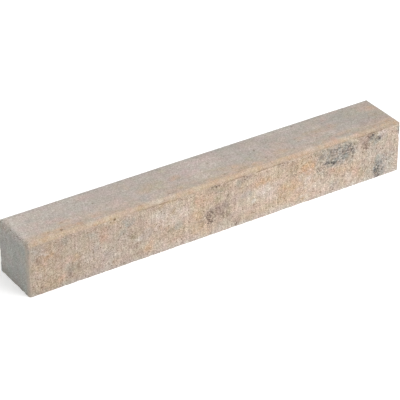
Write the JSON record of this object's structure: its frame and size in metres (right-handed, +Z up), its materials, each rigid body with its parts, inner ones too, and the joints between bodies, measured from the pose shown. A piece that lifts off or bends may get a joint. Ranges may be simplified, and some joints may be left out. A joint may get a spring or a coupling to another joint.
{
  "type": "concrete walling block",
  "caption": "Long solid concrete block of square section with a soft pressed arris round its top bed, for stacking into low garden walls and edgings",
  "frame": {"origin": "centre of the bottom bed, on the surface that the block lies on", "axes": "+X along the length, from the end that shows in the picture to the hidden end; -Y out of the face side; +Z up, out of the top bed"},
  "size_m": [0.9, 0.12, 0.12],
  "materials": {
    "concrete": "as-cast mottled grey, tan and ochre concrete, fine grained and matt"
  },
  "bodies": {
    "root": {"walling_block": "concrete"}
  },
  "joints": []
}
